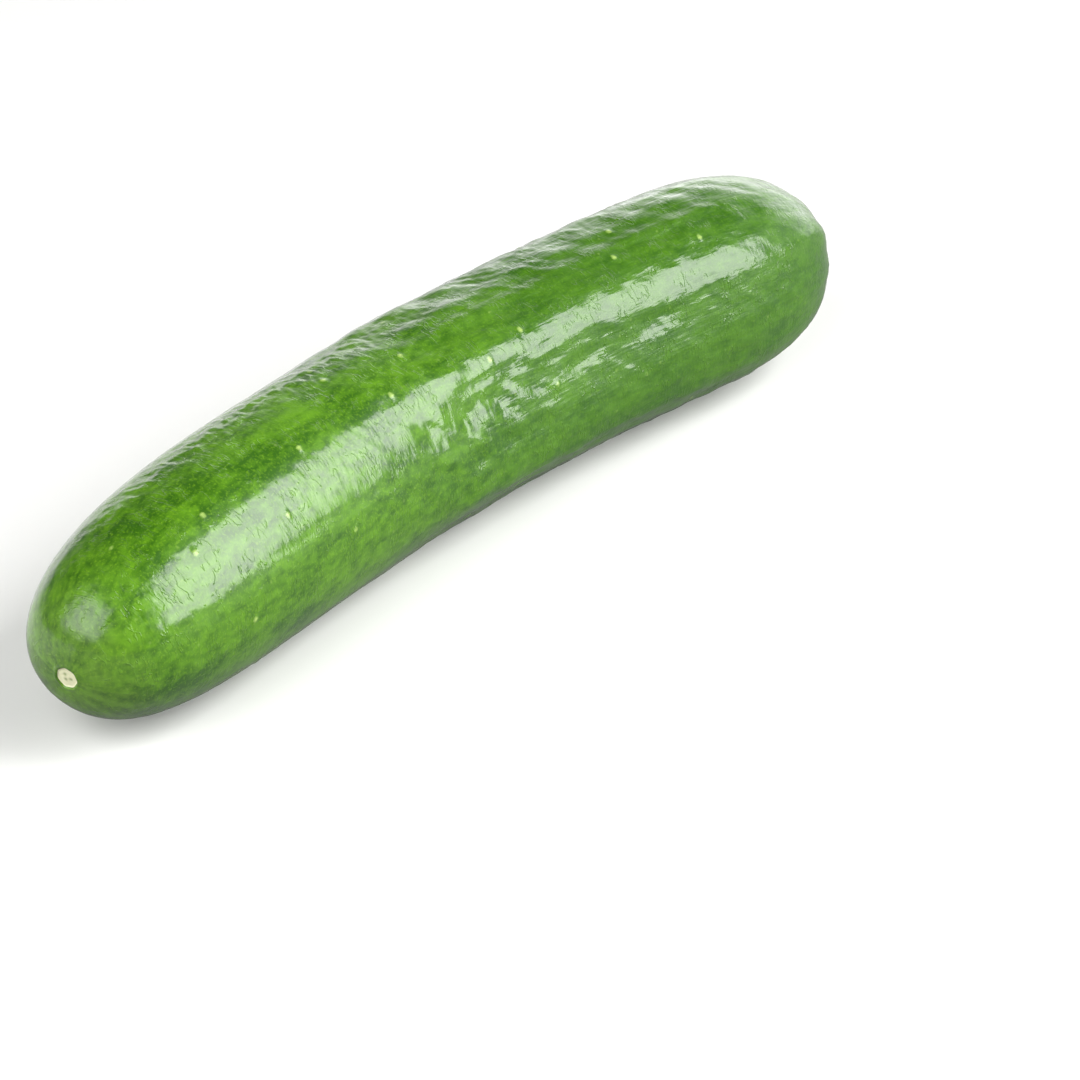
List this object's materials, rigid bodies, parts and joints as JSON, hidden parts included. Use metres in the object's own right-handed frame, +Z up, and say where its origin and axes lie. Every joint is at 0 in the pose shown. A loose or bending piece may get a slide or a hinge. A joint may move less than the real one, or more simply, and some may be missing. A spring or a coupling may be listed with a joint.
{
  "type": "cucumber",
  "caption": "Whole green cucumber lying on its side: a gently bowed, lightly ribbed and wrinkled fruit with a blunt scarred blossom end and a short cut stub at the stem end.",
  "frame": {"origin": "on the surface that the cucumber lies on, under the middle of its bounding box", "axes": "+X runs along the length from the blossom end to the stem end, +Y is the side that the middle bows towards, +Z is up from the surface that it lies on"},
  "size_m": [0.2148, 0.048, 0.0426],
  "materials": {
    "skin": "waxy, semi-gloss"
  },
  "bodies": {
    "root": {"cucumber": "skin"}
  },
  "joints": []
}
